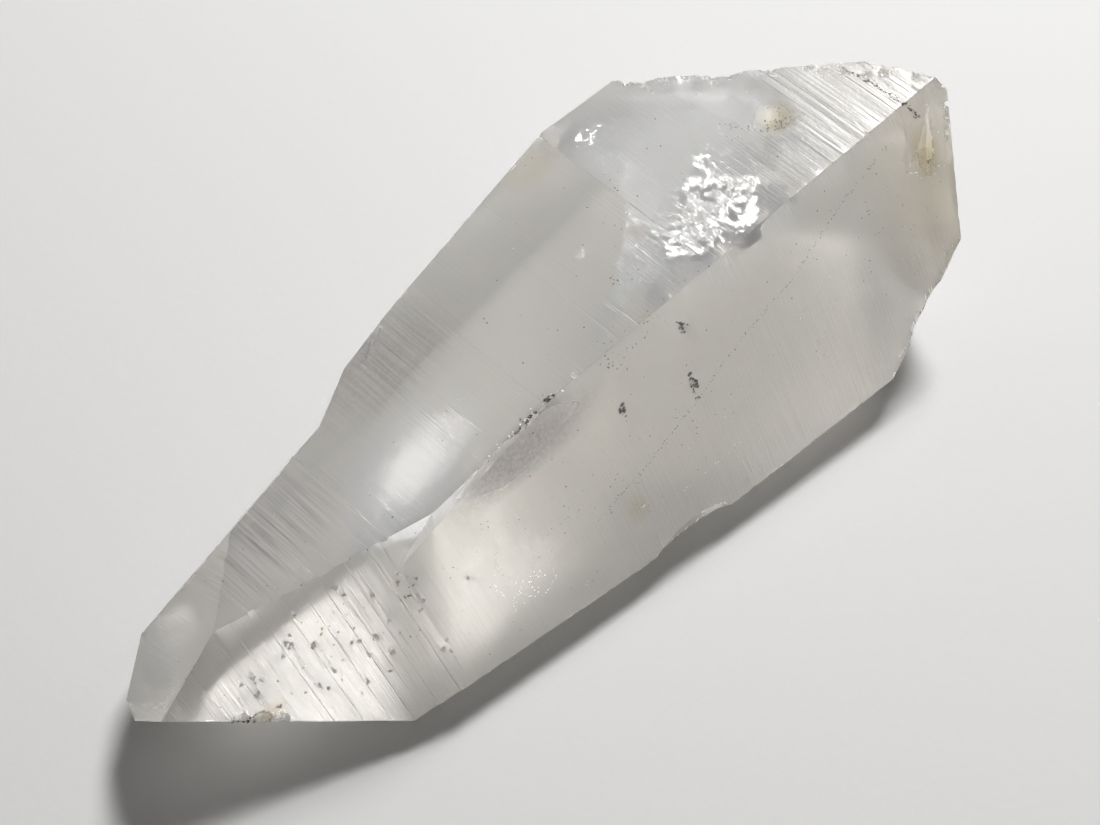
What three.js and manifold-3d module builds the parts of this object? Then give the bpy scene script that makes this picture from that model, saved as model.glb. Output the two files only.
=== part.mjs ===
// Lemurian quartz point: one clear, tapering quartz crystal lying on its longest prism face.
//
// Millimetres and degrees. It is 88 mm long, 40 mm wide and 29 mm high as it lies. It is built in
// the crystal's own coordinates: X runs along the long axis from the tip (-X) to the broken root
// (+X), Z points up out of the top face, +Y is the back, and the origin is the middle of the
// crystal. Then it is tipped until its resting face is level, and the origin is moved to the
// middle of the bottom of its bounding box.
//
// A growing crystal is bounded by flat faces, so its body is a block with one cut per face. Where
// it has a re-entrant step, two such bodies are joined. Growth ledges, etch pits, bruises on the
// edges and the shell-shaped scars of the broken root are then cut away.
import * as THREE from "three";
import { mergeVertices } from "three/addons/utils/BufferGeometryUtils.js";
import Module from "manifold-3d";

const wasm = await Module();
wasm.setup();

const AXIS_RISE = 4.5; // the long axis climbs this much from tip to root when the crystal rests
const REACH = 90; // longer than the crystal, so a block or a cutter this big spans all of it

// A face: azimuth round the long axis (0 up, -90 front, 90 back, 180 down), taper (how far it
// leans towards the tip; a negative one faces the root), and distance from the crystal's middle.
const TOP = { azimuth: 0, taper: 4, distance: 9.1 };
const RESTING = { azimuth: 180, taper: AXIS_RISE, distance: 13.6 };
const BACK_UNDER = { azimuth: 120, taper: 5, distance: 18 };
const FRONT = { azimuth: -60, taper: 6.2, distance: 8.7 };
const FRONT_LOWER = { azimuth: -65, taper: 5, distance: 9.2 };
const FRONT_TIP = { azimuth: -60, taper: 17, distance: 12.4 };
const FRONT_UNDER = [
  { azimuth: -125, taper: 6, distance: 18.7 },
  { azimuth: -120, taper: 10, distance: 18.1 },
];
const RIDGE_LEDGE = { azimuth: -85, taper: 1, distance: 5.5 };

// The point: three rhombohedral faces that close the crystal, and a bruise across its very end.
const POINT_LEFT = { azimuth: 40.5, taper: 29.5, distance: 23.1 };
const POINT_UNDER = { azimuth: -122, taper: 43, distance: 28.5 };
const POINT_BACK = { azimuth: 110, taper: 31, distance: 29.9 };
const POINT_END = { azimuth: 172, taper: 66, distance: 42.1 };

// The root was broken off the rock in four rough planes.
const BREAK_BACK = { azimuth: 75, taper: -43.5, distance: 29.1 };
const BREAK_TOP = { azimuth: 60, taper: -65.5, distance: 39.7 };
const BREAK_END = { azimuth: -150, taper: -77.5, distance: 43 };
const BREAK_FRONT = { azimuth: -115, taper: -25.5, distance: 32.3 };

const SHARED_FACES = [
  TOP,
  RESTING,
  BACK_UNDER,
  FRONT_TIP,
  ...FRONT_UNDER,
  POINT_LEFT,
  POINT_UNDER,
  POINT_BACK,
  POINT_END,
  BREAK_BACK,
  BREAK_TOP,
  BREAK_END,
  BREAK_FRONT,
];

// The back steps out twice on the way to the root, so each stretch has its own faces.
const BACK_TIP = [{ azimuth: 64, taper: 7.5, distance: 13.4 }];
const BACK_LEDGE = [
  { azimuth: 66, taper: 13, distance: 15.2 },
  { azimuth: 64, taper: 5, distance: 12.7 },
];
const BACK = { azimuth: 64, taper: 7.5, distance: 15.5 };
const BACK_BODY = [
  { azimuth: 69, taper: 24, distance: 17.05 },
  { azimuth: 65, taper: 10.5, distance: 15.55 },
  BACK,
  { azimuth: 64, taper: -5, distance: 19.3 },
];

// Growth ledges: shallow steps straight across a face, at right angles to the long axis. Each has
// a stretch of the face to itself, starts somewhere in its first half, and leaves some of it free.
const LEDGE_WIDTH = { least: 0.5, most: 2.2 };
const LEDGE_START = 0.5;
const LEDGE_SHARE = 0.8;
const SHALLOW = { least: 0.02, most: 0.05 };
const DEEP = { least: 0.05, most: 0.16 };
const LEDGED_FACES = [
  { face: TOP, from: -34, to: -20, ledges: 8, depth: DEEP },
  { face: TOP, from: -12, to: 20, ledges: 4, depth: SHALLOW },
  { face: TOP, from: 32, to: 42, ledges: 4, depth: SHALLOW },
  { face: FRONT_TIP, from: -42, to: -21, ledges: 11, depth: DEEP },
  { face: BACK, from: -4, to: 24, ledges: 6, depth: DEEP },
  { face: BACK_UNDER, from: -30, to: 20, ledges: 10, depth: DEEP },
];

// Etch pits: small three-sided hollows scattered over the front of the tip, between the ridge
// line above and the lower edge below.
const PIT = { count: 26, least: 0.28, most: 0.5, depth: 0.2, sides: 3 };
const PITTED = {
  ridge: [new THREE.Vector3(-37, 2, 6.4), new THREE.Vector3(-20, -3.3, 7.7)],
  lower: [new THREE.Vector3(-37, -3.2, -2.6), new THREE.Vector3(-20, -12.4, -8)],
  margin: 0.12,
};

// Bruises: rounded chips knocked out of an edge, each an ellipsoid turned about Z.
const BRUISES = [
  { at: [-10.8, 11.6, 9.2], radii: [5.6, 1.9, 1.1], turn: 17 }, // back edge of the top, long chip
  { at: [-20.8, 9, 8.1], radii: [2.5, 0.9, 0.7], turn: 10 }, // back edge of the top, short chip
  { at: [2.6, -17.5, -12.5], radii: [6.5, 3.7, 4.2], turn: 8 }, // scallop in the lower front edge
  { at: [-7.5, -5.2, 9.3], radii: [1.5, 0.8, 0.9], turn: 0 },
  { at: [-4.8, -5.1, 9.4], radii: [1.1, 0.9, 0.8], turn: 20 },
  { at: [-2.2, -5.2, 9.7], radii: [1.6, 1, 0.9], turn: -10 },
  { at: [0.8, -5, 9.9], radii: [1.2, 0.7, 0.8], turn: 0 },
  { at: [-19.2, -4.6, 8.3], radii: [0.8, 0.9, 0.9], turn: 0 }, // notch where the ridge bends
  { at: [-38.6, -2.2, -1.9], radii: [0.9, 0.7, 0.8], turn: -35 }, // chipped lower edge of the tip
  { at: [-37.3, -3.1, -2.6], radii: [1.1, 0.8, 0.8], turn: -35 },
  { at: [-36, -4, -3.4], radii: [0.9, 0.7, 0.8], turn: -35 },
  { at: [-37.7, 11.6, -2.6], radii: [0.8, 0.8, 0.8], turn: 0 }, // nick in the back of the point
];

// Hollows: a shallow tongue-shaped scar in the top face. Its three ellipsoids are large, and only
// graze the face.
const HOLLOWS = [
  { at: [31.7, -0.3, 19.14], radii: [8, 7, 8], turn: -60 },
  { at: [30.2, 4.3, 19.05], radii: [22, 11, 8], turn: -72 },
  { at: [29.2, 7.4, 19.05], radii: [14, 12, 8], turn: -40 },
];

// Pockets: two flat-sided wedges in the front face at the root's corner. Each is long and pointed
// at both ends. It leans back along the face, and is then turned about Z.
const POCKETS = [
  { at: [40.8, -11.3, 6.9], radii: [1.2, 1.3, 4.9], lean: -34, turn: -40 },
  { at: [38.4, -12.1, 5.8], radii: [0.7, 0.7, 1.9], lean: -34, turn: -40 },
];

// The rims of the break crumbled: a row of small chips along each, of random size and place.
const RIMS = [
  { from: [24, 14.6, 11], to: [36.5, 2.4, 11.7], chips: 10 },
  { from: [36.5, 2.4, 11.7], to: [44, -8.4, 12.2], chips: 6 },
  { from: [44.5, -10, 9.6], to: [41, -15.8, -0.4], chips: 9 },
  { from: [41, -15.8, -0.4], to: [28.6, -19.2, -9.5], chips: 9 },
];
const CHIP = { least: 0.25, most: 0.6 };
const CHIP_SPREAD = 0.4; // a chip's middle lies within half of this of the rim, each way

// Shell-shaped scars of the break: part of a large ball pressed a little way into the fracture,
// deepest where the plane of the break passes over (y, z).
const SCARS = [
  { face: BREAK_BACK, y: 13, z: 2, radius: 32, depth: 1.3 },
  { face: BREAK_BACK, y: 8, z: -7, radius: 26, depth: 1.8 },
  { face: BREAK_BACK, y: 3, z: 2, radius: 24, depth: 1.2 },
  { face: BREAK_BACK, y: 17, z: -4, radius: 18, depth: 1.1 },
  { face: BREAK_BACK, y: 9, z: 7, radius: 12, depth: 0.6 },
  { face: BREAK_BACK, y: 0, z: -6, radius: 20, depth: 1.6 },
  { face: BREAK_BACK, y: 12, z: 10.6, radius: 4, depth: 0.4 },
  { face: BREAK_BACK, y: 6.5, z: 11, radius: 5, depth: 0.4 },
  { face: BREAK_TOP, y: -1, z: 6, radius: 14, depth: 0.7 },
  { face: BREAK_TOP, y: -3.5, z: 11.6, radius: 5, depth: 0.3 },
  { face: BREAK_END, y: -7, z: 3, radius: 16, depth: 0.9 },
  { face: BREAK_END, y: -9, z: -4, radius: 14, depth: 1 },
  { face: BREAK_END, y: -3, z: -11, radius: 22, depth: 1.6 },
  { face: BREAK_END, y: 5, z: -13, radius: 15, depth: 1.2 },
  { face: BREAK_FRONT, y: -17.6, z: -6.5, radius: 6, depth: 0.5 },
  { face: BREAK_FRONT, y: -17, z: -9, radius: 6, depth: 0.6 },
  { face: BREAK_FRONT, y: -15.5, z: -2.5, radius: 5, depth: 0.35 },
];

const ROUNDNESS = { bruise: 4, hollow: 15, scar: 15, chip: 2 }; // subdivisions of each kind of cutter

const SEED = 17; // picks the scatter of the growth ledges and the pits
const MERGE_DISTANCE = 1e-4; // corners of a cutter closer than this are one corner

// A repeatable run of even random numbers between 0 and 1.
function randomRun(seed) {
  const multiplier = 16807;
  const modulus = 2147483647;
  let state = seed;
  return () => {
    state = (state * multiplier) % modulus;
    return state / modulus;
  };
}

function between({ least, most }, random) {
  return least + (most - least) * random();
}

function faceNormal({ azimuth, taper }) {
  const turn = THREE.MathUtils.degToRad(azimuth);
  const lean = THREE.MathUtils.degToRad(taper);
  return new THREE.Vector3(
    -Math.sin(lean),
    Math.cos(lean) * Math.sin(turn),
    Math.cos(lean) * Math.cos(turn),
  );
}

// A closed three.js geometry as a solid that can be joined and cut.
function solidFrom(geometry) {
  geometry.deleteAttribute("normal");
  geometry.deleteAttribute("uv");
  const merged = mergeVertices(geometry, MERGE_DISTANCE);
  return new wasm.Manifold(
    new wasm.Mesh({
      numProp: 3,
      vertProperties: new Float32Array(merged.attributes.position.array),
      triVerts: new Uint32Array(merged.index.array),
    }),
  );
}

function geometryFrom(solid) {
  const { vertProperties, triVerts } = solid.getMesh();
  const geometry = new THREE.BufferGeometry();
  geometry.setAttribute("position", new THREE.BufferAttribute(vertProperties, 3));
  geometry.setIndex(new THREE.BufferAttribute(triVerts, 1));
  return geometry;
}

// Everything outside a face: a large box whose near side lies in the face.
function outside(face) {
  const normal = faceNormal(face);
  const size = 4 * REACH;
  const turn = new THREE.Quaternion().setFromUnitVectors(new THREE.Vector3(1, 0, 0), normal);
  const box = new THREE.BoxGeometry(size, size, size);
  box.translate(face.distance + size / 2, 0, 0);
  box.applyQuaternion(turn);
  return solidFrom(box);
}

function faceted(faces) {
  const block = solidFrom(new THREE.BoxGeometry(2 * REACH, 2 * REACH, 2 * REACH));
  return faces.reduce((solid, face) => solid.subtract(outside(face)), block);
}

// The crystal's body: stretches that share all faces but the ones along the back and the ridge.
function body() {
  const front = [FRONT, FRONT_LOWER];
  return faceted([...SHARED_FACES, ...front, ...BACK_TIP])
    .add(faceted([...SHARED_FACES, ...front, ...BACK_LEDGE]))
    .add(faceted([...SHARED_FACES, ...front, ...BACK_BODY]))
    .add(faceted([...SHARED_FACES, FRONT_LOWER, RIDGE_LEDGE, ...BACK_TIP]));
}

// One ledge: the face is lowered by depth between two places along the long axis.
function ledge(face, from, to, depth) {
  const slab = new THREE.BoxGeometry(to - from, 2 * REACH, 2 * REACH);
  slab.translate((from + to) / 2, 0, 0);
  const lowered = { ...face, distance: face.distance - depth };
  return outside(lowered).intersect(solidFrom(slab));
}

function ledgesOf({ face, from, to, ledges, depth }, random) {
  const pitch = (to - from) / ledges;
  return Array.from({ length: ledges }, (_, i) => {
    const start = from + pitch * (i + LEDGE_START * random());
    const width = Math.min(between(LEDGE_WIDTH, random), LEDGE_SHARE * pitch);
    return ledge(face, start, start + width, between(depth, random));
  });
}

function pits(random) {
  const inwards = faceNormal(FRONT_TIP).negate();
  const turn = new THREE.Quaternion().setFromUnitVectors(new THREE.Vector3(0, 1, 0), inwards);
  return Array.from({ length: PIT.count }, () => {
    const along = random();
    const across = THREE.MathUtils.lerp(PITTED.margin, 1 - PITTED.margin, random());
    const upper = PITTED.ridge[0].clone().lerp(PITTED.ridge[1], along);
    const lower = PITTED.lower[0].clone().lerp(PITTED.lower[1], along);
    const place = upper.lerp(lower, across);
    const radius = between(PIT, random);
    const cone = new THREE.ConeGeometry(radius, 2 * PIT.depth, PIT.sides);
    cone.rotateY(2 * Math.PI * random());
    cone.applyQuaternion(turn);
    cone.translate(place.x, place.y, place.z);
    return solidFrom(cone);
  });
}

function ellipsoid({ at, radii, turn }, detail) {
  const ball = new THREE.IcosahedronGeometry(1, detail);
  ball.scale(...radii);
  ball.rotateZ(THREE.MathUtils.degToRad(turn));
  ball.translate(...at);
  return solidFrom(ball);
}

function wedge({ at, radii, lean, turn }) {
  const dart = new THREE.OctahedronGeometry(1);
  dart.scale(...radii);
  dart.rotateX(THREE.MathUtils.degToRad(lean));
  dart.rotateZ(THREE.MathUtils.degToRad(turn));
  dart.translate(...at);
  return solidFrom(dart);
}

function chipsOf({ from, to, chips }, random) {
  return Array.from({ length: chips }, (_, i) => {
    const share = (i + random()) / chips;
    const at = from.map((start, axis) => {
      const aside = CHIP_SPREAD * (random() - 0.5);
      return THREE.MathUtils.lerp(start, to[axis], share) + aside;
    });
    const radii = at.map(() => between(CHIP, random));
    return ellipsoid({ at, radii, turn: 180 * random() }, ROUNDNESS.chip);
  });
}

function scar({ face, y, z, radius, depth }) {
  const normal = faceNormal(face);
  const x = (face.distance - normal.y * y - normal.z * z) / normal.x;
  const centre = new THREE.Vector3(x, y, z).addScaledVector(normal, radius - depth);
  const ball = new THREE.IcosahedronGeometry(radius, ROUNDNESS.scar);
  ball.translate(centre.x, centre.y, centre.z);
  return solidFrom(ball);
}

function crystalSolid() {
  const random = randomRun(SEED);
  const cuts = [
    ...LEDGED_FACES.flatMap((face) => ledgesOf(face, random)),
    ...SCARS.map(scar),
    ...BRUISES.map((bruise) => ellipsoid(bruise, ROUNDNESS.bruise)),
    ...HOLLOWS.map((hollow) => ellipsoid(hollow, ROUNDNESS.hollow)),
    ...POCKETS.map(wedge),
    ...pits(random),
    ...RIMS.flatMap((rim) => chipsOf(rim, random)),
  ];
  return cuts.reduce((solid, cut) => solid.subtract(cut), body());
}

const quartz = new THREE.MeshStandardMaterial({
  color: 0xdcdad4,
  roughness: 0.25,
  metalness: 0,
});

const crystal = new THREE.Mesh(geometryFrom(crystalSolid()), quartz);
crystal.name = "crystal";
crystal.rotation.y = -THREE.MathUtils.degToRad(AXIS_RISE);

const lyingPoint = new THREE.Group();
lyingPoint.add(crystal);
const box = new THREE.Box3().setFromObject(lyingPoint, true);
const middle = box.getCenter(new THREE.Vector3());
crystal.position.set(-middle.x, -middle.y, -box.min.z);

export default lyingPoint;
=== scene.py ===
# %% [markdown]
# # A Lemurian quartz point
# One cloudy-clear crystal, lying on its long lower face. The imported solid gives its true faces,
# chips and broken root. What is added here is what makes it look like rock crystal: fine growth
# lines, a rippled fracture, silvery healed cracks inside, crumbs of clay in the pits, and quartz
# that bends light.

# %% Load the frame
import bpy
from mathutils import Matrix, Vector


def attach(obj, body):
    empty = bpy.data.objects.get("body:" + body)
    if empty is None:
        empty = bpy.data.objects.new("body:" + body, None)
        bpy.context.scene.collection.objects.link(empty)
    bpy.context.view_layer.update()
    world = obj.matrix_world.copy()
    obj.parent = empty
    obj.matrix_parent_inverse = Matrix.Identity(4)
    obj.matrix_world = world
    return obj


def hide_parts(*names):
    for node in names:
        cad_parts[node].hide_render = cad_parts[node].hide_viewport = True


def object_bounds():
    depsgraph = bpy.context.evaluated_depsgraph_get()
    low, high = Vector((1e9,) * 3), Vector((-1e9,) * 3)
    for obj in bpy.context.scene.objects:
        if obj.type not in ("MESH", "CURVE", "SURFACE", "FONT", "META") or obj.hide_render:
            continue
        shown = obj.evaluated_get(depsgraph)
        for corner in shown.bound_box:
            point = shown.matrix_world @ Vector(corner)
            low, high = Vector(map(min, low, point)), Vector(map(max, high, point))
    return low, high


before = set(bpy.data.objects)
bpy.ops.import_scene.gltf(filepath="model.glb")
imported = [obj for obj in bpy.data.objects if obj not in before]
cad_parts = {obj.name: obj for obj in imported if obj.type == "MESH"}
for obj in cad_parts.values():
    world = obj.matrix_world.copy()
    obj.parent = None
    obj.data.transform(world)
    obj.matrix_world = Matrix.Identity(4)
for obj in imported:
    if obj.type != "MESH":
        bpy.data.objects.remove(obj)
cad_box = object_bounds()
print("solid's box, mm:", [[round(1000 * v, 1) for v in corner] for corner in cad_box])

# %% [markdown]
# Everything on a crystal follows its long axis, which climbs a little from the tip to the root
# as the crystal lies. So places are given in the crystal's own millimetres: x along the axis
# from tip to root, y towards the back, z out of the top face, counted from its middle. An
# alternative is to model it level and tip it at the end, but a finished piece must sit at the
# origin unturned, so the two helpers below turn places instead.

# %% The crystal's own coordinates
import math
import random

import bmesh
import bpy
import numpy as np
from mathutils import Matrix, Vector, noise

MM = 0.001
AXIS_RISE = math.radians(4.5)
MIDDLE = np.array([0.18, -1.31, 13.6])
TURN = np.array([
    [math.cos(AXIS_RISE), 0, math.sin(AXIS_RISE)],
    [0, 1, 0],
    [-math.sin(AXIS_RISE), 0, math.cos(AXIS_RISE)],
])


def to_crystal(points):
    """Points in metres in the scene, as crystal millimetres."""
    return (np.asarray(points) / MM - MIDDLE) @ TURN.T


def to_scene(points):
    """Crystal millimetres, as metres in the scene."""
    return (np.asarray(points) @ TURN + MIDDLE) * MM


tip, root = to_crystal(cad_box)[:, 0]
print("along the axis, mm:", round(tip, 1), "to", round(root, 1))

# %% [markdown]
# The skin starts as a copy of the solid. Its loose triangles are merged into one closed sheet,
# and triangles that lie in one flat face are dissolved into that face, so each crystal face is
# a clean polygon again and ready to be cut.

# %% A merged copy of the solid
# points closer than this, in metres, are one; triangles this near to parallel are one face
LOOSE = 2e-6
FLAT = math.radians(0.25)


def activate(piece):
    """Makes one piece the only selected one, so the next operator acts on it alone."""
    bpy.ops.object.select_all(action="DESELECT")
    piece.select_set(True)
    bpy.context.view_layer.objects.active = piece


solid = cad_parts["crystal"]
skin = solid.copy()
skin.data = solid.data.copy()
skin.name = "crystal_skin"
skin.parent = None
for key in [k for k in skin.keys() if k.startswith("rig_")]:
    del skin[key]
bpy.context.scene.collection.objects.link(skin)
skin.data.materials.clear()

activate(skin)
bpy.ops.object.mode_set(mode="EDIT")
bpy.ops.mesh.select_mode(type="FACE")
bpy.ops.mesh.select_all(action="SELECT")
bpy.ops.mesh.remove_doubles(threshold=LOOSE)
bpy.ops.mesh.dissolve_limited(angle_limit=FLAT)
bpy.ops.object.mode_set(mode="OBJECT")
print("flat faces after the merge:", len(skin.data.polygons))

# %% [markdown]
# Quartz grows its prism faces in thin steps, which leave fine lines straight across them, at
# right angles to the axis. They are strongest near the tip and almost gone where the face is
# polished. A bump texture could draw them, but real steps bend the light inside the crystal
# too, so the faces are cut into narrow strips and the cuts are then raised and lowered by a
# few hundredths of a millimetre.

# %% Faces that carry growth lines
# name: azimuth round the axis and taper to the tip, in degrees; height of the lines and of the
# waves, and gap between lengthwise cuts, in mm
LINED = {
    "top": (0, 4, 0.018, 0.02, 1.5),
    "front": (-60, 6.2, 0.02, 0.03, 1.5),
    "front_lower": (-65, 5, 0.01, 0.03, 2),
    "front_tip": (-60, 17, 0.06, 0.02, 1),
    "ridge_ledge": (-85, 1, 0.02, 0.02, 1),
    "front_under": (-125, 6, 0.02, 0.05, 2),
    "front_under_tip": (-120, 10, 0.02, 0.05, 2),
    "back": (64, 7.5, 0.03, 0.06, 2),
    "back_step": (65, 10.5, 0.03, 0.06, 2),
    "back_ledge": (66, 13, 0.03, 0.06, 2),
    "back_shoulder": (69, 24, 0.03, 0.06, 2),
    "back_under": (120, 5, 0.03, 0.06, 2),
    "resting": (180, 4.5, 0.05, 0.12, 1.5),
}
# azimuth and taper of the faces of the point, which are smooth
POINT = [(40.5, 29.5), (-122, 43), (110, 31), (172, 66)]
names = list(LINED)


def face_normal(azimuth, taper):
    """A face's outward direction in crystal axes: azimuth round the axis, taper to the tip."""
    turn, lean = math.radians(azimuth), math.radians(taper)
    return np.array([
        -math.sin(lean), math.cos(lean) * math.sin(turn), math.cos(lean) * math.cos(turn)
    ])


lined_normals = np.array([face_normal(*LINED[n][:2]) for n in names])
point_normals = np.array([face_normal(*face) for face in POINT])
print(len(names), "lined faces,", len(POINT), "smooth faces of the point")

# %% Tell lined, clean and broken faces apart
# x where the point's faces end, and how far a normal may lean and still be that face's
POINT_ENDS = -18
SAME_FACE = math.cos(math.radians(1.2))
GENTLE = math.cos(math.radians(24))
# a polygon is a strip where its rim squared is more than this many times its area
STRIP = 60
CLEAN, BROKEN = -1, -2


def name_faces(mesh):
    """Notes on each polygon the number of its lined face, or that it is clean or broken.

    A narrow strip, the riser of a growth step, counts as clean, and so does a shallow scar,
    which hardly leans away from the face around it.
    """
    normals = np.empty(len(mesh.polygons) * 3)
    mesh.polygons.foreach_get("normal", normals)
    normals = normals.reshape(-1, 3) @ TURN.T
    along = to_crystal([p.center for p in mesh.polygons])[:, 0]
    likeness = normals @ lined_normals.T
    kinds = likeness.argmax(1)
    other = likeness.max(1) < SAME_FACE
    clean = ((normals @ point_normals.T).max(1) > SAME_FACE) & (along < POINT_ENDS)
    rims = [sum((mesh.vertices[a].co - mesh.vertices[b].co).length for a, b in p.edge_keys)
            for p in mesh.polygons]
    clean |= np.square(rims) > STRIP * np.array([p.area for p in mesh.polygons])
    clean |= likeness.max(1) > GENTLE
    kinds[other] = BROKEN
    kinds[other & clean] = CLEAN
    mesh.attributes.new("face_kind", "INT", "FACE").data.foreach_set("value", kinds)


def faces_of(mesh):
    """The kind that is noted on each polygon."""
    kinds = np.empty(len(mesh.polygons), np.int32)
    mesh.attributes["face_kind"].data.foreach_get("value", kinds)
    return kinds


name_faces(skin.data)
found = faces_of(skin.data)
print("polygons in each lined face:", {n: int((found == i).sum()) for i, n in enumerate(names)})
print("clean:", int((found == CLEAN).sum()), "broken:", int((found == BROKEN).sum()))

# %% Cut the lined faces lengthwise
SNAP = 1e-8


def select_polygons(mesh, wanted):
    """Selects these polygons and nothing else, for the next operator in edit mode."""
    mesh.vertices.foreach_set("select", np.zeros(len(mesh.vertices), bool))
    mesh.edges.foreach_set("select", np.zeros(len(mesh.edges), bool))
    mesh.polygons.foreach_set("select", np.asarray(wanted, bool))


def bisect(place, direction):
    """Cuts what is selected with a plane, given in crystal coordinates."""
    bpy.ops.mesh.bisect(
        plane_co=to_scene(place), plane_no=np.asarray(direction) @ TURN, threshold=SNAP
    )


for i, name in enumerate(names):
    across = np.cross(lined_normals[i], (1, 0, 0))
    across /= np.linalg.norm(across)
    step = LINED[name][4]
    mesh = skin.data
    wanted = faces_of(mesh) == i
    corners = [v for p, w in zip(mesh.polygons, wanted) if w for v in p.vertices]
    spread = to_crystal([mesh.vertices[v].co for v in corners]) @ across
    for place in np.arange(spread.min() + step / 2, spread.max(), step):
        select_polygons(skin.data, faces_of(skin.data) == i)
        bpy.ops.object.mode_set(mode="EDIT")
        bisect(across * place, across)
        bpy.ops.object.mode_set(mode="OBJECT")
print("faces after the lengthwise cuts:", len(skin.data.polygons))

# %% Cut them across, at every growth line
LINE_GAP = (0.12, 0.42)
LINES_SEED = 7

rng = random.Random(LINES_SEED)
lines = [tip]
while lines[-1] < root:
    lines.append(lines[-1] + rng.uniform(*LINE_GAP))

select_polygons(skin.data, faces_of(skin.data) < 0)
bpy.ops.object.mode_set(mode="EDIT")
bpy.ops.mesh.hide(unselected=False)
for x in lines[1:-1]:
    bpy.ops.mesh.select_all(action="SELECT")
    bisect((x, 0, 0), (1, 0, 0))
bpy.ops.mesh.reveal(select=False)
bpy.ops.object.mode_set(mode="OBJECT")
print(len(lines), "growth lines,", len(skin.data.polygons), "faces")

# %% [markdown]
# The cuts now take their height. Growth comes in bands: each line has its own small height, and
# now and then a whole band sits higher or lower, which gives the barcode look such points are
# known for. The lines fade in and out along and across a face, so a soft noise sets how strong
# they are in each place.

# %% How high each growth line is
# how often a band ends, and its share in a line's height
BAND_CHANCE = 0.22
BANDS = 0.6
# x on the crystal, and how strong the lines are there
STRENGTH_ALONG = {
    "top": ([-45, -34, -22, -18, -6, 4, 28, 34, 45], [1.2, 2.2, 1.8, 0.8, 0.6, 0.4, 0.5, 1.4, 1.7]),
    "front": ([-20, -12, 0, 10, 45], [1.4, 1, 0.6, 0.4, 0.3]),
    "front_tip": ([-45, -38, -24, -18], [1, 1.2, 1, 0.7]),
}


def profile(seed):
    """A height between -1 and 1 for every growth line."""
    own = random.Random(seed)
    band, heights = 0, []
    for _ in lines:
        if own.random() < BAND_CHANCE:
            band = own.uniform(-1, 1)
        heights.append(BANDS * band + (1 - BANDS) * own.uniform(-1, 1))
    return heights


print("highest line of the top face:", round(max(profile(0)), 2), "of its full height")

# %% Where they fade and where the face waves
# swells to a mm, and a shift that keeps the waves from following the fading
FADE_GRAIN = (0.12, 0.3, 0.3)
WAVE_GRAIN = 0.28
OTHER_NOISE = 9


def loops_of(mesh):
    """The vertex and the polygon of every corner of every polygon."""
    vertex = np.empty(len(mesh.loops), int)
    mesh.loops.foreach_get("vertex_index", vertex)
    corners = np.empty(len(mesh.polygons), int)
    mesh.polygons.foreach_get("loop_total", corners)
    return vertex, np.repeat(np.arange(len(mesh.polygons)), corners)


def coordinates(mesh):
    """The places of all the points, in metres."""
    co = np.empty(len(mesh.vertices) * 3)
    mesh.vertices.foreach_get("co", co)
    return co.reshape(-1, 3)


mesh = skin.data
places = to_crystal(coordinates(mesh))
vertex, polygon = loops_of(mesh)
face = faces_of(mesh)[polygon]
fade = np.array([0.5 + noise.noise(Vector(place * FADE_GRAIN)) for place in places])
shifted = places * WAVE_GRAIN + (0, 0, OTHER_NOISE)
wave = np.array([noise.noise(Vector(place)) for place in shifted])
print("lines fade from", round(float(fade.min()), 2), "to", round(float(fade.max()), 2))

# %% Move the points of the lined faces
LEAST_FADE = 0.1

move = np.zeros_like(places)
for i, name in enumerate(names):
    here = vertex[face == i]
    x = places[here, 0]
    height = LINED[name][2] * np.interp(x, lines, profile(i)) * np.clip(fade[here], LEAST_FADE, 1)
    if name in STRENGTH_ALONG:
        height = height * np.interp(x, *STRENGTH_ALONG[name])
    height = height + LINED[name][3] * wave[here]
    np.add.at(move, here, height[:, None] * lined_normals[i])
corners = np.bincount(vertex, minlength=len(places))
places += move / corners[:, None]
mesh.vertices.foreach_set("co", to_scene(places).ravel())
mesh.update()
moved = np.linalg.norm(move / corners[:, None], axis=1)
print("growth lines up to", round(float(moved.max()), 3), "mm")

# %% [markdown]
# The root broke like glass: shells with fine ripples, and a grainy floor between them. The
# broken faces are subdivided and every point is moved along its own normal by a noise and by
# rings that spread from where the blow struck. The sharp edges between the faces are bruised
# too: here and there a point on an edge is pushed a little way in. A Displace modifier with a
# texture could roughen it as well, but it can't make rings that spread from a point, nor tell
# an edge of the crystal from the middle of a face.

# %% Finer triangles where it broke
# side, in mm, of a square: a broken face that is larger than it is cut finer
LARGE = 0.4

activate(skin)
large = np.array([p.area > (LARGE * MM) ** 2 for p in mesh.polygons])
select_polygons(mesh, (faces_of(mesh) == BROKEN) & large)
bpy.ops.object.mode_set(mode="EDIT")
bpy.ops.mesh.quads_convert_to_tris()
bpy.ops.mesh.subdivide(number_cuts=1)
bpy.ops.object.mode_set(mode="OBJECT")
print("broken faces:", int((faces_of(mesh) == BROKEN).sum()))

# %% Roughen the fracture and chip the edges
# where the blows struck, and the gap and the height of the rings round them, in mm
STRIKES = [(30, 14, 10), (43, -8, 8), (38, -2, -12)]
RING_GAP = 1.3
RING_HEIGHT = 0.03
# height in mm, and how many swells there are to a mm
COARSE_GRAIN = (0.16, 0.7)
FINE_GRAIN = (0.08, 2.3)
# an edge is chipped where it is sharper and longer than this, and the noise is above this level
SHARP = math.radians(25)
SHORT_EDGE = 0.15
WHOLE_EDGE = 0.05
CHIP_DEPTH = 0.12
CHIPS_PER_MM = 1.1

bm = bmesh.new()
bm.from_mesh(mesh)
bm.normal_update()
kind = bm.faces.layers.int["face_kind"]


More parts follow.
